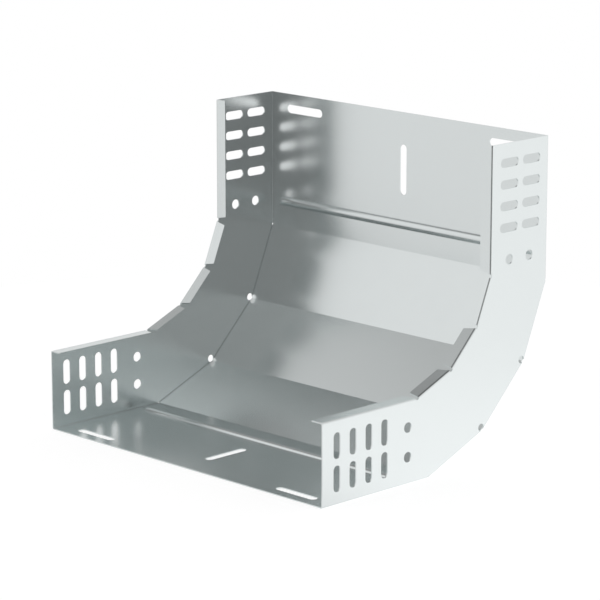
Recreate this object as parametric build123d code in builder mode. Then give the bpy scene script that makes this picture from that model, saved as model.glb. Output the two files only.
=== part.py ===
from build123d import *

import os
from math import cos, radians, sin, sqrt, tan

# Rising 90 degree bend for a cable tray, folded from galvanised steel sheet, in millimetres.
# X runs across the tray, the lower run opens towards -Y and the upright run stands at +Y.
# A height is measured into the trough, square to the outer face of the panel it belongs to.

# The sheet and its folds
sheet = 1.0
fold_radius = 0.5

# The trough
inner_width = 300.0
side_height = 64.5
straight_run = 80.0
inside_radius = 99.5
fold_count = 4

# The flanges along the inner edges of the side plates
flange_width = 11.0
flange_gap = 1.2

# The open seams between the slanted base panels and the side plates
seam_gap = 0.2
plate_setback = 0.5
notch_width = 1.2
relief_diameter = 6.0
relief_height = 3.4

# The slots and holes in the side plates, at both ends
slot_width = 7.0
side_slot_length = 20.0
side_slot_columns = 4
side_slot_pitch = 16.6
side_slot_from_end = 15.0
side_slot_row_spacing = 25.0
hole_diameter = 8.0
hole_from_end = 89.7
hole_spacing = 22.8

# The slots in the base, at both ends
base_slot_length = 41.0
base_slot_from_end = 12.4
base_slot_from_side = 39.0
middle_slot_from_end = 46.6

# The bead pressed into the base of each run
bead_from_end = 91.0
bead_from_side = 10.0
bead_width = 7.5
bead_height = 2.5
bead_blend = 0.3

# Worked out from the sizes above
side_x = inner_width / 2 + sheet
outer_radius = inside_radius + side_height
overall = straight_run + outer_radius
outside_fold_radius = fold_radius + sheet
fold_angle = 90 / fold_count
half_fold = radians(fold_angle / 2)
centre_y = straight_run - overall / 2
centre_z = outer_radius
side_middle = side_height / 2
flange_root = side_height - outside_fold_radius


def knee(number, height):
    """Corner between a panel and the next one at a height, as Y and Z."""
    turned = radians((number + 0.5) * fold_angle)
    distance = (outer_radius - height) / cos(half_fold)
    return (centre_y + distance * sin(turned), centre_z - distance * cos(turned))


def knees(height):
    """All the corners at a height, from the lower run to the upright run."""
    return [knee(number, height) for number in range(fold_count)]


def section_line(height):
    """Line at a height through the whole bend, from the lower end to the upper end."""
    return [(-overall / 2, height), *knees(height), (overall / 2 - height, overall)]


def panel_plane(number, along):
    """Plane square to a panel, at a distance along it from the middle of its turn."""
    turned = radians(number * fold_angle)
    forward = Vector(0, cos(turned), sin(turned))
    touch = Vector(0, centre_y + outer_radius * sin(turned), centre_z - outer_radius * cos(turned))
    return Plane(touch + forward * along, x_dir=(-1, 0, 0), z_dir=forward)


def knee_plane(number, height):
    """Plane at a corner that faces the centre of the bend."""
    turned = radians((number + 0.5) * fold_angle)
    y, z = knee(number, height)
    return Plane((0, y, z), x_dir=(1, 0, 0), z_dir=(0, -sin(turned), cos(turned)))


# Planes across both ends, on the outer face of each run, up its middle and on the tops of its beads,
# and the planes of the outer faces of the side plates
end_planes = (
    Plane((0, -overall / 2, 0), x_dir=(-1, 0, 0), z_dir=(0, 1, 0)),
    Plane((0, overall / 2, overall), x_dir=(1, 0, 0), z_dir=(0, 0, -1)),
)
base_planes = [Plane(end.origin, x_dir=end.z_dir, z_dir=end.y_dir) for end in end_planes]
middle_planes = [Plane(end.origin, x_dir=end.z_dir, z_dir=-end.x_dir) for end in end_planes]
bead_planes = [
    Plane(end.origin + end.z_dir * bead_from_end, x_dir=end.x_dir, z_dir=end.y_dir)
    for end in end_planes
]
side_planes = (Plane.YZ.offset(side_x - sheet), Plane.YZ.offset(-side_x))

# Bead: a ridge of even thickness, blended into the sheet and domed at both ends
crown_radius = (bead_height**2 + (bead_width / 2) ** 2) / (2 * bead_height)
crown_centre = sheet + bead_height - crown_radius
bead_foot = sqrt((crown_radius + bead_blend) ** 2 - (sheet + bead_blend - crown_centre) ** 2)
dome_x = side_x - bead_from_side - bead_width / 2

with BuildPart() as bead:
    with BuildSketch(Plane.YZ.offset(dome_x)) as half_section:
        Rectangle(bead_foot + sheet, sheet, align=Align.MIN)
        with Locations((0, crown_centre)):
            Circle(crown_radius)
            Circle(crown_radius - sheet, mode=Mode.SUBTRACT)
        Rectangle(bead_foot + sheet, 2 * bead_height + sheet, align=Align.MIN, mode=Mode.INTERSECT)
        mouth, root = half_section.vertices().sort_by(Axis.X)[2:4]
        fillet(root, bead_blend)
        fillet(mouth, bead_blend + sheet)
    revolve(half_section.sketch, Axis((dome_x, 0, 0), (0, 0, 1)), -180)
    with BuildSketch(Plane.YZ.offset(dome_x)) as whole_section:
        add(half_section.sketch_local)
        mirror(about=Plane.YZ)
    extrude(whole_section.sketch, amount=-dome_x)
    mirror(about=Plane.YZ)

with BuildPart() as bend_body:
    # Base strip with its folds, as wide as the flat between the corner folds
    with BuildSketch(Plane.YZ):
        with BuildLine():
            FilletPolyline(*section_line(0), radius=outside_fold_radius)
            offset(amount=sheet, side=Side.LEFT)
        make_face()
    extrude(amount=side_x - outside_fold_radius, both=True)

    # Slanted base panels, which run on to the seams
    with BuildSketch(Plane.YZ):
        with BuildLine():
            FilletPolyline(*knees(0), radius=outside_fold_radius)
            offset(amount=sheet, side=Side.LEFT)
        make_face()
    extrude(amount=side_x - sheet - seam_gap, both=True)

    # Corner folds between the base and the side plates, along both runs
    with BuildSketch(*end_planes):
        with BuildLine():
            JernArc((side_x - outside_fold_radius, 0), (1, 0), outside_fold_radius, 90)
            offset(amount=sheet, side=Side.LEFT)
        make_face()
        mirror(about=Plane.YZ)
    extrude(amount=straight_run + outer_radius * tan(half_fold))

    # Side plates, cut back from the slanted panels
    with BuildSketch(*side_planes):
        with BuildLine():
            run_edges = section_line(outside_fold_radius)
            slanted_edge = knees(plate_setback)
            inner_edge = section_line(flange_root)
            Polyline(run_edges[:2], slanted_edge, run_edges[-2:], inner_edge[::-1], close=True)
        make_face()
    extrude(amount=sheet)

    # Flanges, folded inwards panel by panel
    half_panel = inside_radius * tan(half_fold)
    for number in range(fold_count + 1):
        start = -straight_run if number == 0 else -half_panel
        end = straight_run if number == fold_count else half_panel
        with BuildSketch(panel_plane(number, start)):
            with BuildLine():
                fold_start = (side_x - outside_fold_radius, side_height)
                lip = Line((side_x - flange_width, side_height), fold_start)
                JernArc(lip @ 1, lip % 1, outside_fold_radius, -90)
                offset(amount=sheet, side=Side.RIGHT)
            make_face()
            mirror(about=Plane.YZ)
        extrude(amount=end - start)

    # Mitred gaps between the ends of the flanges
    mitre = flange_gap + flange_width * tan(half_fold)
    lip_x = side_x - flange_width
    with BuildSketch(*[knee_plane(number, flange_root) for number in range(fold_count)]):
        Polygon(
            (side_x, flange_gap), (lip_x, mitre), (lip_x, -mitre), (side_x, -flange_gap), align=None
        )
        mirror(about=Plane.YZ)
    extrude(amount=2 * outside_fold_radius, mode=Mode.SUBTRACT)

    # Notches where the corner folds end, and round reliefs at the corners between slanted panels
    with BuildSketch(*[knee_plane(number, 0) for number in (0, fold_count - 1)]):
        with Locations((side_x, 0), (-side_x, 0)):
            Rectangle(2 * outside_fold_radius, notch_width)
    extrude(amount=outside_fold_radius, both=True, mode=Mode.SUBTRACT)
    with BuildSketch(*side_planes):
        with Locations(*knees(relief_height)[1:-1]):
            Circle(relief_diameter / 2)
    extrude(amount=sheet, mode=Mode.SUBTRACT)

    # Beads, each in place of the flat sheet under it
    with BuildSketch(*bead_planes):
        SlotCenterToCenter(2 * dome_x, 2 * bead_foot)
    extrude(amount=sheet, mode=Mode.SUBTRACT)
    with Locations(*bead_planes):
        add(bead.part)

    # Slots and holes through both side plates
    with BuildSketch(*middle_planes):
        last_slot = side_slot_from_end + (side_slot_columns - 1) * side_slot_pitch
        with Locations(((side_slot_from_end + last_slot) / 2, side_middle)):
            with GridLocations(side_slot_pitch, side_slot_row_spacing, side_slot_columns, 2):
                SlotOverall(side_slot_length, slot_width, rotation=90)
        with Locations((hole_from_end, side_middle)):
            with GridLocations(0, hole_spacing, 1, 2):
                Circle(hole_diameter / 2)
    extrude(amount=side_x, both=True, mode=Mode.SUBTRACT)

    # Slots through the base
    with BuildSketch(*base_planes):
        slot_y = side_x - base_slot_from_side
        with Locations((base_slot_from_end, slot_y), (base_slot_from_end, -slot_y)):
            SlotOverall(base_slot_length, slot_width, rotation=90)
        with Locations((middle_slot_from_end, 0)):
            SlotOverall(base_slot_length, slot_width)
    extrude(amount=sheet, mode=Mode.SUBTRACT)

bend_body.part.label = "bend_body"

os.makedirs("parts", exist_ok=True)
export_step(bend_body.part, "parts/bend_body.step")
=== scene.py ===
"""Looks of a rising cable tray bend in galvanised steel sheet, laid out as an add-on."""

from math import cos, radians, sin

import bpy
from mathutils import Matrix, Vector


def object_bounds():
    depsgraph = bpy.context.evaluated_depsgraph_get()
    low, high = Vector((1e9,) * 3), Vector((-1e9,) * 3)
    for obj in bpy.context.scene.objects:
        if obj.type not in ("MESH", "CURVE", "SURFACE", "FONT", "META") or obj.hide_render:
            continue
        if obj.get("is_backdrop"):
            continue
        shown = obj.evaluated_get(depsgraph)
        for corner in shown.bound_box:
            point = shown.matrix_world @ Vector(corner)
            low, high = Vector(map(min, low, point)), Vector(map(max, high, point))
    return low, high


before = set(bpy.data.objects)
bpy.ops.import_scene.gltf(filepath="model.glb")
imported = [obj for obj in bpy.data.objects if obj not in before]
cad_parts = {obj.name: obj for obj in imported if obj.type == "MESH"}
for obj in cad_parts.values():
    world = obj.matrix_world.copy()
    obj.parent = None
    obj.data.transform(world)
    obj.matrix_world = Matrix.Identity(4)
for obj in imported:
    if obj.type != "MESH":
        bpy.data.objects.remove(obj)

bl_info = {
    "name": "Cable Tray Bend",
    "version": (1, 0, 0),
    "blender": (4, 5, 0),
    "location": "3D View > Sidebar > Tray Bend",
    "description": "Finishes a folded cable tray bend and stages it in a plain studio",
    "category": "Object",
}

BODY = "bend_body"

LOW_CORNER, HIGH_CORNER = (Vector(corner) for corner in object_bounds())
MIDDLE = (LOW_CORNER + HIGH_CORNER) / 2

# Sockets of the Mix node, which share their names and so go by number
MIX_FACTOR = 0
MIX_FLOATS, MIX_COLOURS = (2, 3), (6, 7)
MIXED_FLOAT, MIXED_COLOUR = 0, 2


def linear(hex_colour):
    """Turns an sRGB hex colour such as "c8ccd0" into linear RGBA."""
    channels = [int(hex_colour[at : at + 2], 16) / 255 for at in (0, 2, 4)]
    toe, slope, offset, gamma = 0.04045, 12.92, 0.055, 2.4
    return (
        *(c / slope if c <= toe else ((c + offset) / (1 + offset)) ** gamma for c in channels),
        1.0,
    )


def add_node(tree, kind, settings=None, inputs=None):
    """Adds a node, sets its properties, and links or fills its input sockets."""
    node = tree.nodes.new(kind)
    for name, value in (settings or {}).items():
        setattr(node, name, value)
    for socket, value in (inputs or {}).items():
        if isinstance(value, bpy.types.NodeSocket):
            tree.links.new(value, node.inputs[socket])
        else:
            node.inputs[socket].default_value = value
    return node


def new_material(name):
    """Makes an empty node material and returns it with its tree."""
    material = bpy.data.materials.new(name)
    material.use_nodes = True
    material.node_tree.nodes.clear()
    return material, material.node_tree


def galvanised_sheet(finish):
    """Cold rolled sheet with a hot dip zinc coat.

    The zinc is a pale, slightly blue grey mirror, blurred by its fine rolled grain. Its spangle
    shows only as faint clouds of tone and blur. Tight corners get a darker colour: painted shade.
    """
    material, tree = new_material("hot_dip_galvanised_sheet")
    place = add_node(tree, "ShaderNodeTexCoord")
    cloud = add_node(
        tree,
        "ShaderNodeTexNoise",
        {"noise_dimensions": "3D"},
        {"Vector": place.outputs["Object"], "Scale": 1 / finish.spangle_size, "Detail": 2.0},
    )
    dark, light = MIX_COLOURS
    tone = add_node(
        tree,
        "ShaderNodeMix",
        {"data_type": "RGBA"},
        {
            MIX_FACTOR: cloud.outputs["Fac"],
            dark: linear(finish.zinc_dark),
            light: linear(finish.zinc_light),
        },
    )
    # Painted shade: an ambient occlusion mask mixes a darker colour into tight corners and seams
    corner_occlusion = add_node(
        tree,
        "ShaderNodeAmbientOcclusion",
        {"samples": 8, "only_local": True},
        {"Distance": finish.painted_shade_reach},
    )
    painted_shade, open_sheet = MIX_COLOURS
    coat_with_painted_shade = add_node(
        tree,
        "ShaderNodeMix",
        {"data_type": "RGBA"},
        {
            MIX_FACTOR: corner_occlusion.outputs["AO"],
            painted_shade: linear(finish.painted_crevice_shade),
            open_sheet: tone.outputs[MIXED_COLOUR],
        },
    )
    roughness = add_node(
        tree,
        "ShaderNodeMapRange",
        None,
        {
            "Value": cloud.outputs["Fac"],
            "To Min": finish.roughness - finish.roughness_spread,
            "To Max": finish.roughness + finish.roughness_spread,
        },
    )
    shader = add_node(
        tree,
        "ShaderNodeBsdfPrincipled",
        None,
        {
            "Base Color": coat_with_painted_shade.outputs[MIXED_COLOUR],
            "Metallic": 1.0,
            "Roughness": roughness.outputs["Result"],
        },
    )
    add_node(tree, "ShaderNodeOutputMaterial", None, {"Surface": shader.outputs["BSDF"]})
    return material


def surroundings(tree, direction, studio):
    """Brightness of the room in a direction, which is what the metal mirrors.

    Pale walls stand under a dim ceiling. A white sweep and a lamp box make them brighter, and
    three cards make them dimmer. No part is dimmer than the room's darkest corner.
    """
    height = add_node(tree, "ShaderNodeSeparateXYZ", None, {"Vector": direction})
    walls = add_node(
        tree,
        "ShaderNodeMapRange",
        {"interpolation_type": "SMOOTHSTEP"},
        {
            "Value": height.outputs["Z"],
            "From Min": sin(studio.wall_top),
            "From Max": sin(studio.ceiling_start),
            "To Min": studio.wall_level,
            "To Max": studio.ceiling_level,
        },
    )
    brightness = walls.outputs["Result"]
    for (azimuth, elevation), (core, reach), level in (
        (studio.sweep_aim, studio.sweep_spread, studio.sweep_level),
        (studio.lamp_box_aim, studio.lamp_box_spread, studio.lamp_box_level),
        (studio.side_card_aim, studio.side_card_spread, studio.side_card_level),
        (studio.top_card_aim, studio.top_card_spread, studio.top_card_level),
        (studio.low_card_aim, studio.low_card_spread, studio.low_card_level),
    ):
        aim = (cos(azimuth) * cos(elevation), sin(azimuth) * cos(elevation), sin(elevation))
        facing = add_node(
            tree, "ShaderNodeVectorMath", {"operation": "DOT_PRODUCT"}, {0: direction, 1: aim}
        )
        share = add_node(
            tree,
            "ShaderNodeMapRange",
            {"interpolation_type": "SMOOTHSTEP"},
            {
                "Value": facing.outputs["Value"],
                "From Min": cos(reach),
                "From Max": cos(core),
                "To Min": 1.0,
                "To Max": level,
            },
        )
        product = add_node(
            tree,
            "ShaderNodeMath",
            {"operation": "MULTIPLY"},
            {0: brightness, 1: share.outputs["Result"]},
        )
        brightness = product.outputs["Value"]
    limited = add_node(
        tree, "ShaderNodeMath", {"operation": "MAXIMUM"}, {0: brightness, 1: studio.dimmest_level}
    )
    return limited.outputs["Value"]


def studio_floor(studio):
    """Matt pale floor that keeps the soft shadow and reads as the white background.

    What mirrors it or looks through to it sees the room's own brightness in that direction.
    """
    material, tree = new_material("matt_white_floor")
    path = add_node(tree, "ShaderNodeLightPath")
    mirrored = add_node(
        tree,
        "ShaderNodeMath",
        {"operation": "MAXIMUM"},
        {0: path.outputs["Is Glossy Ray"], 1: path.outputs["Is Transmission Ray"]},
    )
    lift = add_node(
        tree,
        "ShaderNodeMath",
        {"operation": "MULTIPLY"},
        {0: path.outputs["Is Camera Ray"], 1: studio.floor_lift},
    )
    paint = add_node(tree, "ShaderNodeBsdfDiffuse", None, {"Color": linear(studio.floor_colour)})
    glow = add_node(tree, "ShaderNodeEmission", None, {"Strength": lift.outputs["Value"]})
    lifted = add_node(
        tree, "ShaderNodeAddShader", None, {0: paint.outputs["BSDF"], 1: glow.outputs["Emission"]}
    )
    place = add_node(tree, "ShaderNodeTexCoord")
    offset = add_node(
        tree,
        "ShaderNodeVectorMath",
        {"operation": "SUBTRACT"},
        {0: place.outputs["Object"], 1: MIDDLE},
    )
    direction = add_node(
        tree, "ShaderNodeVectorMath", {"operation": "NORMALIZE"}, {0: offset.outputs["Vector"]}
    )
    brightness = surroundings(tree, direction.outputs["Vector"], studio)
    white = add_node(tree, "ShaderNodeEmission", None, {"Strength": brightness})
    seen = add_node(
        tree,
        "ShaderNodeMixShader",
        None,
        {0: mirrored.outputs["Value"], 1: lifted.outputs["Shader"], 2: white.outputs["Emission"]},
    )
    add_node(tree, "ShaderNodeOutputMaterial", None, {"Surface": seen.outputs["Shader"]})
    return material


def studio_world(studio):
    """The room around the floor, which the camera sees as plain white."""
    world = bpy.data.worlds.new("studio_walls")
    world.use_nodes = True
    tree = world.node_tree
    tree.nodes.clear()
    place = add_node(tree, "ShaderNodeTexCoord")
    brightness = surroundings(tree, place.outputs["Generated"], studio)
    path = add_node(tree, "ShaderNodeLightPath")
    room, white = MIX_FLOATS
    level = add_node(
        tree,
        "ShaderNodeMix",
        {"data_type": "FLOAT"},
        {MIX_FACTOR: path.outputs["Is Camera Ray"], room: brightness, white: 1.0},
    )
    light = add_node(
        tree,
        "ShaderNodeBackground",
        None,
        {"Color": (1.0, 1.0, 1.0, 1.0), "Strength": level.outputs[MIXED_FLOAT]},
    )
    add_node(tree, "ShaderNodeOutputWorld", None, {"Surface": light.outputs["Background"]})
    return world


class TRAYBEND_PG_finish(bpy.types.PropertyGroup):
    """Colours and grain of the zinc coated sheet."""

    zinc_light: bpy.props.StringProperty(
        name="Light Zinc", description="Paler tone of the zinc, as sRGB hex", default="e9eeee"
    )
    zinc_dark: bpy.props.StringProperty(
        name="Dark Zinc", description="Darker tone of the zinc, as sRGB hex", default="e6ebeb"
    )
    spangle_size: bpy.props.FloatProperty(
        name="Spangle", description="Size of the zinc's faint clouds", default=0.012, unit="LENGTH"
    )
    # Painted shade: the darker colour mixed into tight corners and seams, and how far it reaches
    painted_crevice_shade: bpy.props.StringProperty(
        name="Painted Crevice Shade", description="Painted shade of tight corners, as sRGB hex",
        default="c1c6c7",
    )
    painted_shade_reach: bpy.props.FloatProperty(
        name="Painted Shade Reach", description="How far the painted shade comes out of a tight corner",
        default=0.0015, unit="LENGTH",
    )
    roughness: bpy.props.FloatProperty(
        name="Roughness", description="Blur of the zinc's reflections", default=0.25
    )
    roughness_spread: bpy.props.FloatProperty(
        name="Roughness Spread", description="How far the blur varies each way", default=0.02
    )


class TRAYBEND_PG_studio(bpy.types.PropertyGroup):
    """Floor, walls, lamp and camera of the studio."""

    floor_colour: bpy.props.StringProperty(
        name="Floor", description="Colour of the floor, as sRGB hex", default="bcbcbc"
    )
    floor_lift: bpy.props.FloatProperty(
        name="Floor Lift", description="Light added where the floor is seen", default=0.8
    )
    floor_radius: bpy.props.FloatProperty(
        name="Floor Radius", description="Radius of the round floor", default=0.6, unit="LENGTH"
    )
    wall_level: bpy.props.FloatProperty(
        name="Walls", description="Brightness of the walls", default=0.83
    )
    wall_top: bpy.props.FloatProperty(
        name="Wall Top", description="Elevation where the walls end", default=radians(42),
        subtype="ANGLE",
    )
    ceiling_level: bpy.props.FloatProperty(
        name="Ceiling", description="Brightness of the ceiling", default=0.13
    )
    ceiling_start: bpy.props.FloatProperty(
        name="Ceiling Start", description="Elevation where the ceiling is plain",
        default=radians(60), subtype="ANGLE",
    )
    dimmest_level: bpy.props.FloatProperty(
        name="Darkest Corner", description="Brightness of the room's darkest corner", default=0.12
    )
    sweep_aim: bpy.props.FloatVectorProperty(
        name="Sweep Aim", description="Azimuth and elevation of the white sweep's middle",
        size=2, default=(radians(31), radians(-53)), unit="ROTATION",
    )
    sweep_spread: bpy.props.FloatVectorProperty(
        name="Sweep Spread", description="Half widths of the white sweep's core and of its reach",
        size=2, default=(radians(22), radians(67)), unit="ROTATION",
    )
    sweep_level: bpy.props.FloatProperty(
        name="Sweep Level", description="Brightness of the sweep, as a share of the walls",
        default=1.32,
    )
    lamp_box_aim: bpy.props.FloatVectorProperty(
        name="Lamp Box Aim", description="Azimuth and elevation of the lamp box's middle",
        size=2, default=(radians(285), radians(35)), unit="ROTATION",
    )
    lamp_box_spread: bpy.props.FloatVectorProperty(
        name="Lamp Box Spread", description="Half widths of the lamp box's core and of its reach",
        size=2, default=(radians(16), radians(51)), unit="ROTATION",
    )
    lamp_box_level: bpy.props.FloatProperty(
        name="Lamp Box Level", description="Brightness of the lamp box, as a share of the walls",
        default=1.7,
    )
    side_card_aim: bpy.props.FloatVectorProperty(
        name="Side Card Aim", description="Azimuth and elevation of the dark side card's middle",
        size=2, default=(radians(304), radians(15)), unit="ROTATION",
    )
    side_card_spread: bpy.props.FloatVectorProperty(
        name="Side Card Spread",
        description="Half widths of the side card's core and of its reach",
        size=2, default=(radians(39), radians(51)), unit="ROTATION",
    )
    side_card_level: bpy.props.FloatProperty(
        name="Side Card Level", description="Brightness of the side card, as a share of the walls",
        default=0.245,
    )
    top_card_aim: bpy.props.FloatVectorProperty(
        name="Top Card Aim", description="Azimuth and elevation of the dark top card's middle",
        size=2, default=(radians(151), radians(67)), unit="ROTATION",
    )
    top_card_spread: bpy.props.FloatVectorProperty(
        name="Top Card Spread", description="Half widths of the top card's core and of its reach",
        size=2, default=(radians(7), radians(43)), unit="ROTATION",
    )
    top_card_level: bpy.props.FloatProperty(
        name="Top Card Level", description="Brightness of the top card, as a share of the ceiling",
        default=0.23,
    )
    low_card_aim: bpy.props.FloatVectorProperty(
        name="Low Card Aim", description="Azimuth and elevation of the grey low card's middle",
        size=2, default=(radians(191), radians(-18)), unit="ROTATION",
    )
    low_card_spread: bpy.props.FloatVectorProperty(
        name="Low Card Spread", description="Half widths of the low card's core and of its reach",
        size=2, default=(radians(4), radians(29)), unit="ROTATION",
    )
    low_card_level: bpy.props.FloatProperty(
        name="Low Card Level", description="Brightness of the low card, as a share of the walls",
        default=0.64,
    )
    camera_azimuth: bpy.props.FloatProperty(
        name="Azimuth", description="Turn of the camera about the tray", default=radians(45.29),
        subtype="ANGLE",
    )
    camera_elevation: bpy.props.FloatProperty(
        name="Elevation", description="Height angle of the camera", default=radians(13.095),
        subtype="ANGLE",
    )
    camera_distance: bpy.props.FloatProperty(
        name="Distance", description="From the camera to the aim point", default=2.29495,
        unit="LENGTH",
    )
    camera_aim: bpy.props.FloatVectorProperty(
        name="Aim", description="Aim point from the middle of the tray",
        default=(0.00424, 0.00064, -0.011), subtype="TRANSLATION",
    )
    lens: bpy.props.FloatProperty(
        name="Lens", description="Focal length in millimetres on a 36 mm sensor", default=177.165
    )


class TRAYBEND_OT_body(bpy.types.Operator):
    """Give the folded body its galvanised finish"""

    bl_idname = "traybend.body"
    bl_label = "Galvanised Body"

    def execute(self, context):
        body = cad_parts[BODY]
        body.data.materials.clear()
        body.data.materials.append(galvanised_sheet(context.scene.traybend_finish))
        return {"FINISHED"}


class TRAYBEND_OT_stage(bpy.types.Operator):
    """Lay the floor, light the studio and aim the camera"""

    bl_idname = "traybend.stage"
    bl_label = "Studio Stage"

    def execute(self, context):
        scene = context.scene
        studio = scene.traybend_studio
        bpy.ops.object.select_all(action="DESELECT")
        bpy.ops.mesh.primitive_circle_add(
            vertices=96, radius=studio.floor_radius, fill_type="NGON",
            location=(0, 0, LOW_CORNER.z),
        )
        floor = context.active_object
        floor.name = "floor"
        bpy.ops.object.transform_apply(location=True, rotation=True, scale=True)
        floor.data.materials.append(studio_floor(studio))
        floor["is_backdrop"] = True
        scene.world = studio_world(studio)

        back = (
            Matrix.Rotation(studio.camera_azimuth, 4, "Z")
            @ Matrix.Rotation(radians(90) - studio.camera_elevation, 4, "X")
        )
        aim = MIDDLE + Vector(studio.camera_aim)
        bpy.ops.object.camera_add(
            location=aim + back @ Vector((0, 0, studio.camera_distance)), rotation=back.to_euler()
        )
        camera = context.active_object
        camera.name = "catalogue_camera"
        camera.data.lens = studio.lens
        scene.camera = camera
        scene.view_settings.view_transform = "Standard"
        return {"FINISHED"}


class TRAYBEND_PT_panel(bpy.types.Panel):
    """Sidebar panel that lists the steps"""

    bl_idname = "TRAYBEND_PT_panel"
    bl_label = "Cable Tray Bend"
    bl_space_type = "VIEW_3D"
    bl_region_type = "UI"
    bl_category = "Tray Bend"

    def draw(self, context):
        for operator in STEPS:
            self.layout.operator(operator.bl_idname)


STEPS = (TRAYBEND_OT_body, TRAYBEND_OT_stage)
CLASSES = (TRAYBEND_PG_finish, TRAYBEND_PG_studio, *STEPS, TRAYBEND_PT_panel)


def register():
    for entry in CLASSES:
        bpy.utils.register_class(entry)
    bpy.types.Scene.traybend_finish = bpy.props.PointerProperty(type=TRAYBEND_PG_finish)
    bpy.types.Scene.traybend_studio = bpy.props.PointerProperty(type=TRAYBEND_PG_studio)


def unregister():
    del bpy.types.Scene.traybend_studio
    del bpy.types.Scene.traybend_finish
    for entry in reversed(CLASSES):
        bpy.utils.unregister_class(entry)


def main():
    register()
    bpy.ops.traybend.body()
    bpy.ops.traybend.stage()


if __name__ == "__main__":
    main()
